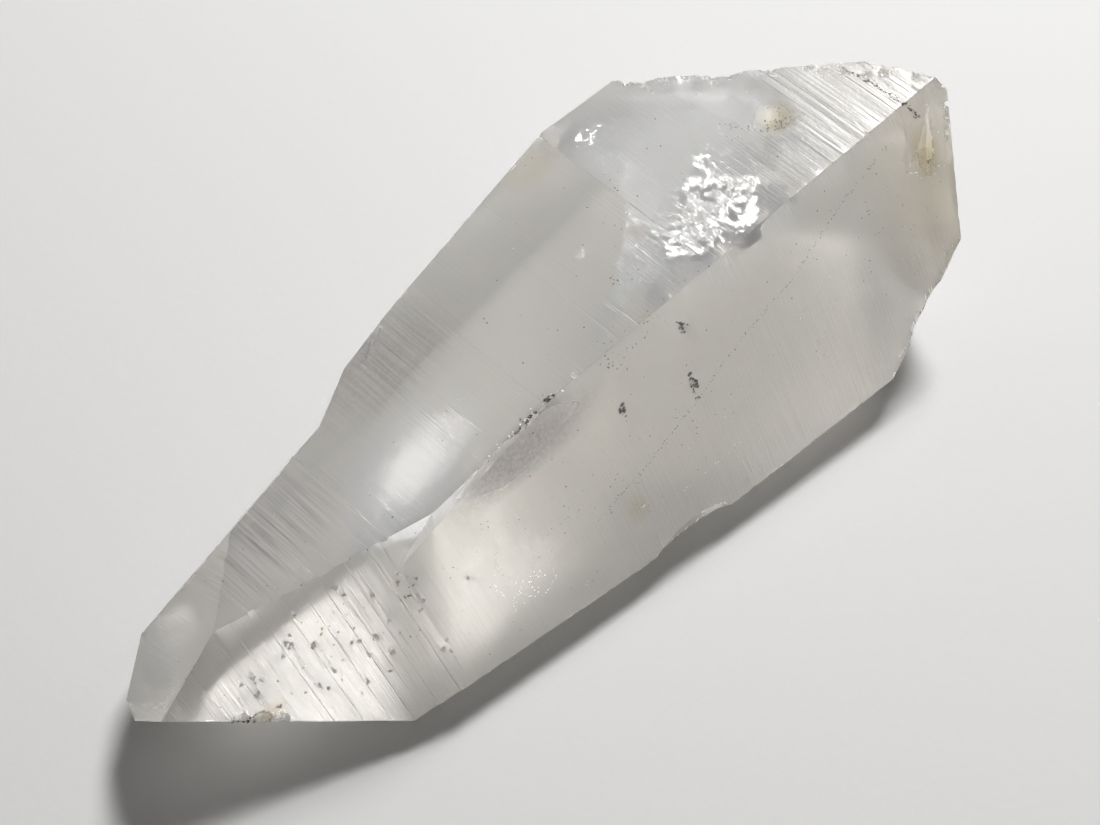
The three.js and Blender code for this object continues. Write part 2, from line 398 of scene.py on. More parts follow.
def is_crystal_edge(edge):
    """Whether two different faces of the crystal meet at this edge, at a clear angle."""
    if not edge.is_manifold or edge.calc_length() < SHORT_EDGE * MM:
        return False
    one, other = (face[kind] for face in edge.link_faces)
    return one != other and edge.calc_face_angle() > SHARP


for v in bm.verts:
    place = Vector(to_crystal(v.co))
    normal = v.normal.copy()
    rise = 0
    if all(f[kind] == BROKEN for f in v.link_faces):
        for height, per_mm in (COARSE_GRAIN, FINE_GRAIN):
            rise += height * noise.noise(place * per_mm)
        away = min(math.dist(place, s) for s in STRIKES)
        rise += RING_HEIGHT * math.sin(2 * math.pi * away / RING_GAP)
    if any(is_crystal_edge(e) for e in v.link_edges):
        rise -= CHIP_DEPTH * max(0, noise.noise(place * CHIPS_PER_MM) - WHOLE_EDGE)
    v.co += normal * rise * MM
low, high = (np.array(corner) for corner in cad_box)
for v in bm.verts:
    v.co = Vector(np.clip(v.co, low, high))
open_edges = sum(not e.is_manifold for e in bm.edges)
bm.to_mesh(mesh)
bm.free()
mesh.update()
print("open edges:", open_edges, "triangles:", sum(len(p.vertices) - 2 for p in mesh.polygons))

# %% [markdown]
# Where the quartz is frosted, dirty or stained can't be told from its shape, and neither can the
# places where shade is painted into its colour, so all of these are marked on the points of the
# skin, as numbers that the material reads. Each mark is a soft blob at a place on the crystal.
# Painting them by hand would do as well, but a list of places is easier to change.

# %% Places that are frosted, grimy and stained, and where shade is painted
# place on the crystal, half-sizes, strength
FROST = [
    ((-8, -5.6, 7.2), (8, 1.4, 2), 1.1),
    ((12, 0, 5), (24, 20, 16), 0.15),
    ((-35, -1, 2), (9, 7, 8), 0.2),
    ((38, -4, 2), (12, 20, 20), 0.25),
    ((31.4, -0.2, 11.2), (2.6, 2.6, 1.5), 0.55),
]
# painted shade: grey stripes along the growth lines, standing in for the dark that the lines
# reflect
SHADE_STRIPES = [
    ((-27, 4.5, 7), (7, 3.6, 3), 0.6),
    ((-35, 5.5, 3.5), (3, 3.6, 3), 0.5),
    ((-8, 9, 8), (8, 4, 2), 0.3),
]
# painted shade: grainy grey patches where the crystal looks darker, under the ridge and on the top
# face
SHADE_PATCHES = [
    ((-8, -5.8, 7), (9, 1.6, 2.4), 1.4),
    ((-9, 9, 8), (8, 4, 2), 0.35),
    ((24, -14, -3), (16, 5, 6), 0.15),
]
GRIME = [
    ((-4.5, -4.8, 9.2), (5, 0.5, 0.6), 0.5),
    ((-37, -3.2, -2.7), (3, 0.8, 0.8), 0.5),
    ((40.5, -11.5, 6), (2.4, 1.6, 4), 0.3),
]
STAIN = [
    ((42, -10, 0), (8, 14, 14), 0.5),
    ((40.7, -11.3, 6.9), (1.8, 1.8, 5), 1.2),
    ((38.4, -12.2, 5.8), (1, 1, 2.2), 0.8),
    ((31.6, -0.6, 11.3), (1.7, 1.5, 0.8), 1.1),
    ((-38, 6, 1), (7, 7, 8), 0.3),
    ((-37, -3.2, -2.7), (3, 1, 1), 0.8),
    ((0, -13, -5), (1.2, 1.2, 1.2), 0.6),
    ((14, 13, 10), (4, 2, 1), 0.4),
]
print("places marked by hand:", len(FROST + SHADE_STRIPES + SHADE_PATCHES + GRIME + STAIN))

# %% Mark them on the skin
# a blob ends this many half-sizes from its centre, and fades over the last one of them
REACH = 1.3


def blobs(places, marks):
    """How strongly each place is marked, from 0 to 1."""
    total = np.zeros(len(places))
    for centre, half, strength in marks:
        away = np.linalg.norm((places - centre) / half, axis=1)
        total = np.maximum(total, strength * np.clip(REACH - away, 0, 1))
    return np.clip(total, 0, 1)


def mark(piece, name, values):
    """Notes a number on every point of a piece, for its material to read."""
    attribute = piece.data.attributes.new(name, "FLOAT", "POINT")
    attribute.data.foreach_set("value", np.asarray(values, np.float32))


places = to_crystal(coordinates(mesh))
for name, hand_marks in (("shade_stripes", SHADE_STRIPES), ("shade_patches", SHADE_PATCHES), ("grime", GRIME),
                         ("stain", STAIN)):
    strength = blobs(places, hand_marks)
    mark(skin, name, strength)
    print(name, "on", int((strength > 0).sum()), "points")

# %% Mark the matt faces and the lined ones
# x on the crystal, and how matt the resting and the back faces are there
MATT_ALONG = ([-45, -24, -7, 2, 45], [0.34, 0.34, 0.38, 0.85, 1])
# a face is one of them where its normal's z is less, or its y more, than this
FACES_DOWN = -0.2
FACES_BACK = 0.6
BROKEN_FROST = 0.8
TIP_LINES = 2


def point_mean(mesh, corner_values):
    """The mean of a number over the corners that meet in each point."""
    vertex, _ = loops_of(mesh)
    return np.bincount(vertex, corner_values, len(mesh.vertices)) / np.bincount(vertex)


normals = np.array([v.normal for v in mesh.vertices]) @ TURN.T
hidden = (normals[:, 2] < FACES_DOWN) | (normals[:, 1] > FACES_BACK)
matt = hidden * np.interp(places[:, 0], *MATT_ALONG)
kinds = faces_of(mesh)[loops_of(mesh)[1]]
broken = point_mean(mesh, kinds == BROKEN)
mark(skin, "frost", np.maximum.reduce([matt, blobs(places, FROST), BROKEN_FROST * broken]))
lined = (kinds >= 0) + (TIP_LINES - 1) * (kinds == names.index("front_tip"))
mark(skin, "lined", point_mean(mesh, lined) / TIP_LINES)
print("matt points:", int((matt > 0).sum()), "broken points:", int((broken > 0).sum()))

# %% [markdown]
# Clear quartz is glass to a renderer: transmission, and quartz's own IOR of 1.544, which sets
# how much light turns back inside at the far faces. Those stay plain numbers on the shader.
# This crystal is a little cloudy, with fluid trapped in it as it grew, so part of the light is
# scattered under the surface instead. A scattering volume would be truer, but it takes many
# times as long to render. What changes over the surface is how rough it is, the finest lines,
# the colour that grime and iron stain give the light, and a grey of painted shade in places.

# %% Helpers to wire up a material
def new_material(name):
    """A new material, with its nodes, its links and its main shader."""
    material = bpy.data.materials.new(name)
    material.use_nodes = True
    nodes = material.node_tree.nodes
    return material, nodes, material.node_tree.links, nodes["Principled BSDF"]


def add(nodes, kind, **settings):
    """A new node with these settings, which may be its own or its inputs' values."""
    node = nodes.new(kind)
    for key, value in settings.items():
        if hasattr(node, key):
            setattr(node, key, value)
        else:
            node.inputs[key.replace("_", " ")].default_value = value
    return node


def maths(nodes, links, operation, a, b):
    """The result of a sum on two values or sockets, kept between 0 and 1."""
    node = nodes.new("ShaderNodeMath")
    node.operation = operation
    node.use_clamp = True
    for socket, value in zip(node.inputs, (a, b)):
        if isinstance(value, (int, float)):
            socket.default_value = value
        else:
            links.new(value, socket)
    return node.outputs[0]


def mix(nodes, links, share, a, b):
    """A colour between a and b, by a share that a socket gives."""
    node = nodes.new("ShaderNodeMix")
    node.data_type = "RGBA"
    links.new(share, node.inputs["Factor"])
    for socket, value in ((node.inputs[6], a), (node.inputs[7], b)):
        if isinstance(value, tuple):
            socket.default_value = (*value, 1)
        else:
            links.new(value, socket)
    return node.outputs[2]


print("helpers ready")

# %% Rock crystal: see-through, and a little cloudy
QUARTZ_IOR = 1.544
CLEARNESS = 0.72
# how far light wanders under the skin, in metres, and how far red, green and blue get of it
CLOUD_DEPTH = 0.02
CLOUD_TINT = (1, 0.97, 0.92)

quartz, nodes, links, shader = new_material("rock crystal")
shader.inputs["IOR"].default_value = QUARTZ_IOR
shader.inputs["Transmission Weight"].default_value = CLEARNESS
shader.subsurface_method = "BURLEY"
shader.inputs["Subsurface Weight"].default_value = 1
shader.inputs["Subsurface Scale"].default_value = CLOUD_DEPTH
shader.inputs["Subsurface Radius"].default_value = CLOUD_TINT
print("share of the light that goes straight in:", CLEARNESS)

# %% Patterns that the finish is made from
# how many swells a pattern has to the metre, along and across the crystal or all round
FINE_LINES = (5000, 120, 120)
CLOUDS = 160
SPECKS = 2600
SKIN_GRAIN = 3200

marks = {n: add(nodes, "ShaderNodeAttribute", attribute_name=n).outputs["Fac"]
         for n in ("frost", "shade_stripes", "shade_patches", "grime", "stain", "lined")}
place = add(nodes, "ShaderNodeTexCoord").outputs["Object"]
along = add(nodes, "ShaderNodeMapping", Rotation=(0, AXIS_RISE, 0))
links.new(place, along.inputs["Vector"])
stretched = add(nodes, "ShaderNodeMapping", Scale=FINE_LINES)
links.new(along.outputs[0], stretched.inputs["Vector"])
lines_noise = add(nodes, "ShaderNodeTexNoise", Scale=1, Detail=3)
links.new(stretched.outputs[0], lines_noise.inputs["Vector"])
cloud = add(nodes, "ShaderNodeTexNoise", Scale=CLOUDS, Detail=4)
links.new(place, cloud.inputs["Vector"])
specks = add(nodes, "ShaderNodeTexNoise", Scale=SPECKS, Detail=3)
links.new(place, specks.inputs["Vector"])
grain = add(nodes, "ShaderNodeTexNoise", Scale=SKIN_GRAIN, Detail=2)
links.new(place, grain.inputs["Vector"])
print("marks that the finish reads:", list(marks))

# %% The finest lines and the grain, as a bump
LINES_STRENGTH, LINES_HEIGHT = 0.6, 0.00008
GRAIN_STRENGTH, GRAIN_HEIGHT = 0.2, 0.00005

line_height = maths(nodes, links, "MULTIPLY", lines_noise.outputs["Fac"], marks["lined"])
lines_bump = add(nodes, "ShaderNodeBump", Strength=LINES_STRENGTH, Distance=LINES_HEIGHT)
links.new(line_height, lines_bump.inputs["Height"])
bump = add(nodes, "ShaderNodeBump", Strength=GRAIN_STRENGTH, Distance=GRAIN_HEIGHT)
links.new(grain.outputs["Fac"], bump.inputs["Height"])
links.new(lines_bump.outputs[0], bump.inputs["Normal"])
links.new(bump.outputs[0], shader.inputs["Normal"])
print("bump of the lines, mm:", LINES_HEIGHT / MM)

# %% How rough it is
POLISH = 0.05
CLOUDY_ROUGHNESS = 0.12
FROST_ROUGHNESS = 0.5
# grime turns a speck into dirt where the two add up to more than the clean limit
GRIME_PULL = 0.35
CLEAN_LIMIT = 0.72
DIRT_EDGE = 12
GRIME_FULL = 4

dirt = maths(nodes, links, "MULTIPLY", marks["grime"], GRIME_PULL)
dirt = maths(nodes, links, "ADD", dirt, specks.outputs["Fac"])
dirt = maths(nodes, links, "SUBTRACT", dirt, CLEAN_LIMIT)
dirt = maths(nodes, links, "MULTIPLY", dirt, DIRT_EDGE)
grimy = maths(nodes, links, "MULTIPLY", marks["grime"], GRIME_FULL)
dirt = maths(nodes, links, "MULTIPLY", dirt, grimy)

rough = maths(nodes, links, "MULTIPLY", cloud.outputs["Fac"], CLOUDY_ROUGHNESS)
rough = maths(nodes, links, "ADD", rough, POLISH)
frost = maths(nodes, links, "MULTIPLY", marks["frost"], FROST_ROUGHNESS)
rough = maths(nodes, links, "ADD", rough, frost)
rough = maths(nodes, links, "ADD", rough, dirt)
links.new(rough, shader.inputs["Roughness"])
print("roughness from", POLISH, "to about", POLISH + CLOUDY_ROUGHNESS + FROST_ROUGHNESS)

# %% What colour it gives the light
CLEAR = (0.995, 0.99, 0.985)
SHADED = (0.97, 0.97, 0.97)
TEA = (0.8, 0.7, 0.48)
# painted shade: the grey of the painted stripes and patches
PAINTED_SHADE = (0.3, 0.27, 0.3)
DIRT = (0.10, 0.075, 0.055)
STRIPE_START, STRIPE_EDGE = 0.4, 4

streaks = maths(nodes, links, "MULTIPLY", line_height, line_height)
colour = mix(nodes, links, streaks, CLEAR, SHADED)
# painted shade: grey stripes where the growth lines' noise is high, and grainy grey patches, mixed
# into the colour
shade_stripes = maths(nodes, links, "SUBTRACT", lines_noise.outputs["Fac"], STRIPE_START)
shade_stripes = maths(nodes, links, "MULTIPLY", shade_stripes, STRIPE_EDGE)
shade_stripes = maths(nodes, links, "MULTIPLY", shade_stripes, marks["shade_stripes"])
shade_patches = maths(nodes, links, "MULTIPLY", grain.outputs["Fac"], marks["shade_patches"])
colour = mix(nodes, links, maths(nodes, links, "ADD", shade_stripes, shade_patches), colour, PAINTED_SHADE)
colour = mix(nodes, links, marks["stain"], colour, TEA)
colour = mix(nodes, links, dirt, colour, DIRT)
links.new(colour, shader.inputs["Base Color"])
print("colours:", {"clear": CLEAR, "stain": TEA, "shade_patches": PAINTED_SHADE, "dirt": DIRT})

# %% [markdown]
# A faint absorption in the volume makes thick parts a little warmer than thin ones, as real
# quartz is. A tint on the surface would be simpler, but it would colour a thin edge as much as
# the thick middle. The skin then gets the finish and takes the solid's place.

# %% Absorption, and the finished skin
WARM_GREY = (0.955, 0.9, 0.8, 1)
ABSORPTION_PER_METRE = 18.0
ROUNDED = math.radians(6)

absorption = add(nodes, "ShaderNodeVolumeAbsorption", Density=ABSORPTION_PER_METRE)
absorption.inputs["Color"].default_value = WARM_GREY
links.new(absorption.outputs[0], nodes["Material Output"].inputs["Volume"])

skin.data.materials.append(quartz)
activate(skin)
bpy.ops.object.shade_smooth_by_angle(angle=ROUNDED)
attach(skin, "root")
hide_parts("crystal")
print("quartz finish on", skin.name)

# %% [markdown]
# A crystal that has cracked and healed keeps the crack as a thin crumpled film that turns some
# of the light back, so it looks like white foil just under the surface. Each film starts as a
# flat grid. It is laid a little way under a face, crumpled, torn to a ragged outline with holes
# in it, and given the thickness of foil. The pale veils are films too, but larger, smoother, and
# bent to low domes, which turn the rim away from the light and let it fade. One could scatter
# small flakes instead, but they look like glitter, and a healed crack is one connected sheet.

# %% Where things lie on the skin
from mathutils.bvhtree import BVHTree

bm = bmesh.new()
bm.from_mesh(mesh)
surface = BVHTree.FromBMesh(bm)
bm.free()


def on_skin(place):
    """The nearest point of the skin and its outward direction, both in crystal coordinates."""
    spot, normal, _, _ = surface.find_nearest(Vector(to_scene(place)))
    return Vector(to_crystal(spot)), Vector(np.asarray(normal) @ TURN.T).normalized()


print("a point of the top face:", [round(v, 1) for v in on_skin((0, 0, 12))[0]])

# %% Silver and milk of the healed cracks
# roughness, darkest and lightest grey: from a bright foil to a breath on glass
CRACK_FINISHES = {
    "foil": (0.36, 0.62, 1),
    "milk": (0.5, 0.55, 0.9),
    "haze": (0.5, 0.4, 0.8),
    "breath": (0.46, 0.24, 0.34),
}
SHIMMER = 1500

crack_finishes = {}
for name, (roughness, dark, light) in CRACK_FINISHES.items():
    finish, nodes, links, shader = new_material("healed crack, " + name)
    shader.inputs["Metallic"].default_value = 1
    shader.inputs["Roughness"].default_value = roughness
    shimmer = add(nodes, "ShaderNodeTexNoise", Scale=SHIMMER, Detail=2)
    links.new(add(nodes, "ShaderNodeTexCoord").outputs["Object"], shimmer.inputs["Vector"])
    links.new(mix(nodes, links, shimmer.outputs["Fac"], (dark,) * 3, (light,) * 3),
              shader.inputs["Base Color"])
    crack_finishes[name] = finish
print("finishes of the healed cracks:", list(crack_finishes))

# %% Where the films lie
# the way a film faces, in crystal axes, to throw the window's light back out of each face
FROM_TOP = (0.06, -0.07, 1)
FROM_FRONT = (0.05, -0.27, 0.96)
FROM_POINT = (-0.19, 0.25, 0.95)
# place on the crystal, depth, half-length and half-width, way it faces, turn in degrees,
# share that is left, height of the crumples and of the dome, material
FILMS = [
    ((23, -4.2, 10.8), 0.5, 3.4, 2.0, FROM_TOP, 15, 0.75, 0.15, 0, "foil"),
    ((17.8, -3.2, 10.3), 0.6, 3.4, 1.9, FROM_TOP, -20, 0.7, 0.15, 0, "foil"),
    ((23.5, 0.8, 10.8), 0.5, 2.6, 1.3, FROM_TOP, 40, 0.6, 0.15, 0, "foil"),
    ((20, -2, 10.5), 0.8, 6, 3, FROM_TOP, 10, 0.75, 0.1, 0.1, "milk"),
    ((16, 2.5, 10), 0.4, 2.6, 1.2, FROM_TOP, 60, 0.55, 0.15, 0, "foil"),
    ((21.8, 1.1, 10.7), 0.3, 1.6, 0.5, FROM_TOP, 20, 0.7, 0.15, 0, "foil"),
    ((10, 3.4, 9.8), 0.3, 0.7, 0.5, FROM_TOP, 0, 0.7, 0.15, 0, "foil"),
    ((19.5, 11.5, 10.5), 0.4, 1.8, 0.9, FROM_TOP, -10, 0.55, 0.15, 0, "foil"),
    ((12, -7.8, 6.8), 0.5, 1.2, 0.6, FROM_FRONT, 30, 0.6, 0.2, 0, "haze"),
    ((6, -8, 5.5), 0.5, 1.5, 0.6, FROM_FRONT, -20, 0.6, 0.2, 0, "haze"),
    ((-14.6, 0.3, 8.2), 1, 9, 5.5, FROM_TOP, 12, 1.2, 0.05, 0.9, "milk"),
    ((20, 4, 10.8), 0.7, 18, 11, FROM_TOP, 0, 3, 0.02, 1.0, "breath"),
    ((-38.5, 7.5, -0.5), 2, 4.5, 4.5, FROM_POINT, 0, 1.2, 0.03, 0.3, "milk"),
]
print(len(FILMS), "films")

# %% Tear and crumple one film
# the outline: how far it wanders, how many swells it has to a mm, and where it ends
RAGGED, RAGGED_PER_MM, OUTLINE = 0.4, 0.6, 0.9
# the holes: how many to a mm, how much more is torn towards the outline, and from where on
HOLES_PER_MM, FRAYED, FRAYED_FROM = 1.7, 0.5, 0.4
# the folds: how many large and small ones to a mm, the small ones' height, and the mean level
FOLDS_PER_MM, CREASES_PER_MM, CREASE, FOLD_LEVEL = 0.8, 2, 0.35, 0.4
# a film that comes nearer to the skin than this, in mm, is torn off there
LEAST_DEPTH = 0.15


def is_torn(u, v, local, left, shift):
    """Whether the film is gone here: past its ragged outline, or in a hole."""
    ragged = math.hypot(u, v) + RAGGED * noise.noise(local * RAGGED_PER_MM + shift)
    hole = 0.5 + noise.noise(local * HOLES_PER_MM - shift) + FRAYED * max(0, ragged - FRAYED_FROM)
    return ragged > OUTLINE or hole > left


def fold_height(local, shift):
    """How high the crumpled film stands here, for crumples of height 1."""
    fold = abs(noise.noise(local * FOLDS_PER_MM + shift))
    fold += CREASE * abs(noise.noise(local * CREASES_PER_MM + shift))
    return fold - FOLD_LEVEL


def is_too_near(place):
    """Whether a place in the scene is outside the skin, or hardly under it."""
    near, outward, _, _ = surface.find_nearest(place)
    return (near - place).dot(outward) < LEAST_DEPTH * MM


print("a film stays at least", LEAST_DEPTH, "mm under the skin")

# %% Films of healed crack
NOISE_ROOM = 50
GRID = (44, 30)
FILMS_SEED = 23

rng = random.Random(FILMS_SEED)
films = []
for centre, depth, length, width, facing, turn, left, crumple, dome, finish in FILMS:
    spot, normal = on_skin(centre)
    facing = Vector(facing).normalized()
    spin = Matrix.Rotation(math.radians(turn), 3, facing)
    along = spin @ (Vector((1, 0, 0)) - facing * facing.x).normalized()
    across = facing.cross(along)
    shift = Vector([rng.uniform(0, NOISE_ROOM) for _ in range(3)])
    bpy.ops.object.select_all(action="DESELECT")
    bpy.ops.mesh.primitive_grid_add(x_subdivisions=GRID[0], y_subdivisions=GRID[1], size=2)
    film = bpy.context.object
    bm = bmesh.new()
    bm.from_mesh(film.data)
    torn = set()
    for face in bm.faces:
        u, v, _ = face.calc_center_median()
        if is_torn(u, v, Vector((u * length, v * width, 0)), left, shift):
            torn.add(face)
    for vert in bm.verts:
        u, v, _ = vert.co
        fold = fold_height(Vector((u * length, v * width, 0)), shift)
        place = spot - normal * depth + along * u * length + across * v * width
        rise = crumple * fold - dome * (u * u + v * v)
        vert.co = Vector(to_scene(place + facing * rise))
        if is_too_near(vert.co):
            torn.update(vert.link_faces)
    bmesh.ops.delete(bm, geom=[face for face in bm.faces if face in torn], context="FACES")
    bm.to_mesh(film.data)
    bm.free()
    film.data.materials.append(crack_finishes[finish])
    films.append(film)
print("faces left in each film:", [len(film.data.polygons) for film in films])

# %% Join them and give them the thickness of foil
FOIL = 0.02

bpy.ops.object.select_all(action="DESELECT")
for film in films:
    film.select_set(True)
bpy.context.view_layer.objects.active = films[0]
bpy.ops.object.join()
veils = films[0]
veils.name = "healed_cracks"
thicken = veils.modifiers.new("foil", "SOLIDIFY")
thicken.thickness = FOIL * MM
thicken.offset = 0
bpy.ops.object.modifier_apply(modifier=thicken.name)
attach(veils, "root")
print("faces in the healed cracks:", len(veils.data.polygons))

# %% [markdown]
# Clay and rust sit in the pits and cracks of a dug crystal as crumbs a tenth of a millimetre
# wide. A texture would smear them, so each crumb is a real one: a small ball, dented and pressed
# flat into the skin. Some lie in clusters, some in a row along a hairline crack, the rest
# anywhere. A number on each says how light it is: dark clay, tan rust, or a white bruise.

# %% One crumb
FLATTENED = (1, 0.7, 0.3)
DENTS, DENT_SIZE = 0.7, 1.6

bpy.ops.object.select_all(action="DESELECT")
bpy.ops.mesh.primitive_ico_sphere_add(subdivisions=2, radius=1)
crumb = bpy.context.object
bpy.ops.object.mode_set(mode="EDIT")
bpy.ops.transform.resize(value=FLATTENED)
bpy.ops.object.mode_set(mode="OBJECT")
for v in crumb.data.vertices:
    v.co *= 1 + DENTS * noise.noise(v.co * DENT_SIZE)
print("faces in a crumb:", len(crumb.data.polygons))

# %% Where the crumbs lie in clusters
CLAY, RUST, BRUISE = 0, 0.5, 1
# centre, spread along and across the crystal, how many, largest size, tone
CLUSTERS = [
    ((-2.5, -4.4, 9), 0.8, 0.3, 16, 0.4, CLAY),
    ((-5, -4.5, 8.8), 1.2, 0.3, 14, 0.35, CLAY),
    ((-5, -4.6, 8.8), 3, 0.5, 16, 0.4, RUST),
    ((-6, -4.5, 8.7), 3.5, 0.4, 16, 0.32, BRUISE),
    ((-12, -11, -4), 2, 1.2, 30, 0.22, BRUISE),
    ((3, -8.2, 4), 0.3, 0.8, 14, 0.5, CLAY),
    ((10, -10.2, 2), 0.3, 1.1, 20, 0.5, CLAY),
    ((11.5, -7.4, 7.2), 0.5, 0.5, 16, 0.45, CLAY),
    ((9, -6, 9.4), 1.6, 0.9, 14, 0.26, CLAY),
    ((5, -5.6, 8.4), 2, 1.2, 22, 0.26, CLAY),
    ((14, 14, 10), 0.6, 0.8, 8, 0.3, CLAY),
    ((17, 6, 10.3), 0.6, 1, 10, 0.3, CLAY),
    ((16.2, 3, 10.3), 1.5, 0.8, 9, 0.25, RUST),
    ((10, -1, 9.8), 0.5, 0.9, 9, 0.25, CLAY),
    ((28.5, 1.8, 11.1), 1, 1.2, 8, 0.25, CLAY),
    ((-21.5, -6.2, 1.5), 0.8, 1.8, 12, 0.5, RUST),
    ((-37.5, -3, -2.4), 2.5, 0.25, 34, 0.4, RUST),
    ((-37.5, -3, -2.4), 2.5, 0.25, 14, 0.3, CLAY),
    ((0.5, -13, -5), 0.4, 0.6, 9, 0.3, RUST),
    ((-13, -6.6, 3.2), 0.6, 0.6, 6, 0.2, CLAY),
    ((-5.5, -9.9, -1), 1.2, 0.3, 6, 0.22, CLAY),
    ((-9, -13.2, -7.4), 2.5, 0.6, 14, 0.25, RUST),
    ((40.3, -11.4, 6), 0.8, 2, 20, 0.25, RUST),
    ((-29, -4.5, 0.5), 6, 4, 34, 0.5, RUST),
    ((-29, -4.5, 0.5), 6, 4, 26, 0.36, CLAY),
    ((31.3, -0.9, 11.3), 1.1, 0.9, 30, 0.3, RUST),
    ((31.6, -1.2, 11.3), 1, 0.8, 10, 0.25, CLAY),
    ((2, -9, -1), 14, 6, 70, 0.22, CLAY),
    ((34, -12, 2), 7, 6, 60, 0.22, CLAY),
]
print("crumbs in clusters:", sum(count for _, _, _, count, _, _ in CLUSTERS))

# %% Where they lie in rows
# the points a row runs through, gap between crumbs, largest size, tone
ROWS = [
    ([(37.7, -9.2, 9.7), (31, -9.4, 7.9), (23, -10.4, 4.6), (16, -10.4, 2.9), (10, -11, 0.8),
      (2, -11.3, -1.7), (-4, -11.3, -3)], 0.22, 0.2, CLAY),
    ([(36.7, -10.7, 6.8), (26, -12.2, 2.1), (16.6, -12.8, -1), (10.4, -13.1, -2.9)],
     0.5, 0.14, RUST),
    ([(39.7, -1.3, 11.9), (40.2, -4.5, 11.9), (40.3, -8.5, 12), (41.2, -9.9, 10)], 0.08, 0.3, CLAY),
    ([(31.4, 6.2, 11.3), (32.3, 3.7, 11.3), (32.8, 0, 11.3), (31.9, -1.8, 11.3)], 0.2, 0.2, RUST),
    ([(26, -7.2, 11), (31, -7.7, 11.3), (38.5, -8.2, 11.8)], 0.8, 0.16, CLAY),
    ([(16, -5.9, 10.2), (11, -5.3, 9.9), (4, -4.8, 9.4)], 0.6, 0.16, CLAY),
    ([(28, 3, 11), (30, -0.6, 11.2), (32, -1.8, 11.4)], 0.3, 0.2, CLAY),
    ([(14, 14, 10.1), (17, 11.6, 10.3), (19.6, 9.3, 10.5)], 0.3, 0.15, RUST),
    ([(-13, -7.8, 1), (-14, -8.6, -0.6), (-13.4, -9.6, -2.4)], 0.08, 0.12, CLAY),
    ([(-10.5, -9.8, -2), (-11.3, -10.3, -3.2), (-12, -10.6, -4)], 0.08, 0.12, CLAY),
    ([(-11, -10.5, -3.5), (-12.6, -10.4, -3.2), (-14.2, -10.7, -4.1), (-14.6, -11.3, -5.2)],
     0.2, 0.14, BRUISE),
    ([(-9.4, -11, -3.8), (-9.9, -11.8, -5), (-11.6, -11.8, -5.6)], 0.22, 0.12, BRUISE),
    ([(-14.4, -8.9, -1), (-15, -9.6, -2.4), (-14.6, -10.4, -3.6)], 0.22, 0.12, BRUISE),
    ([(12, -15, -5.6), (8.5, -14.6, -6), (4, -14.3, -6.3)], 0.5, 0.1, BRUISE),
]
print(len(ROWS), "rows")

# %% All the crumbs: scattered, in clusters and in rows
SCATTERED = 360
SCATTER_SIZE = 0.24
SCATTER_Y, SCATTER_Z = (-14, 10), (-8, 12)
CROWDING = 0.6
WANDER = 0.12
CRUMBS_SEED = 41

rng = random.Random(CRUMBS_SEED)
crumbs = [(Vector((rng.uniform(tip, root), rng.uniform(*SCATTER_Y), rng.uniform(*SCATTER_Z))),
           None, SCATTER_SIZE, rng.choice((CLAY, CLAY, CLAY, RUST))) for _ in range(SCATTERED)]
for centre, spread, across, count, size, tone in CLUSTERS:
    for _ in range(count):
        step = Vector((rng.gauss(0, spread), rng.gauss(0, across), rng.gauss(0, across)))
        crumbs.append((Vector(centre) + step * CROWDING, None, size, tone))
for corners, gap, size, tone in ROWS:
    for start, end in zip(corners, corners[1:]):
        start, end = Vector(start), Vector(end)
        count = max(1, round((end - start).length / gap))
        for k in range(count):
            wander = Vector([rng.gauss(0, WANDER) for _ in range(3)])
            crumbs.append((start.lerp(end, (k + rng.random()) / count) + wander,
                           end - start, size, tone))
print(len(crumbs), "crumbs")

# %% Press them into the skin
# share of a crumb's half-width that lies under the skin
PRESSED = 0.15
SIZES = (0.3, 1)
TONE_SPREAD = 0.12

bm = bmesh.new()
tones = []
for place, heading, size, tone in crumbs:
    spot, normal = on_skin(place)
    size *= rng.uniform(*SIZES) / 2
    heading = heading or Vector([rng.gauss(0, 1) for _ in range(3)])
    side = normal.cross(heading).normalized()
    turn = Matrix((side.cross(normal), side, normal)).transposed()
    start = len(bm.verts)
    bm.from_mesh(crumb.data)
    bm.verts.ensure_lookup_table()
    for vert in bm.verts[start:]:
        pressed = turn @ (vert.co * size) + spot - normal * size * PRESSED
        vert.co = Vector(np.clip(to_scene(pressed), low, high))
    tones += [min(1, max(0, tone + rng.gauss(0, TONE_SPREAD)))] * (len(bm.verts) - start)
bpy.data.objects.remove(crumb)
crumbs_mesh = bpy.data.meshes.new("crumbs")
bm.to_mesh(crumbs_mesh)
bm.free()
crumbs_piece = bpy.data.objects.new("crumbs", crumbs_mesh)
bpy.context.scene.collection.objects.link(crumbs_piece)
mark(crumbs_piece, "tone", tones)
print("faces in all the crumbs:", len(crumbs_mesh.polygons))

# %% Clay, rust and bruises
CLAY_COLOUR = (0.03, 0.025, 0.02, 1)
RUST_COLOUR = (0.2, 0.155, 0.1, 1)
BRUISE_COLOUR = (0.93, 0.93, 0.92, 1)
DUST = (0.8, 0.78, 0.74)
DUSTY = 0.12
BLOTCHES = 6000
EARTHY = 0.85

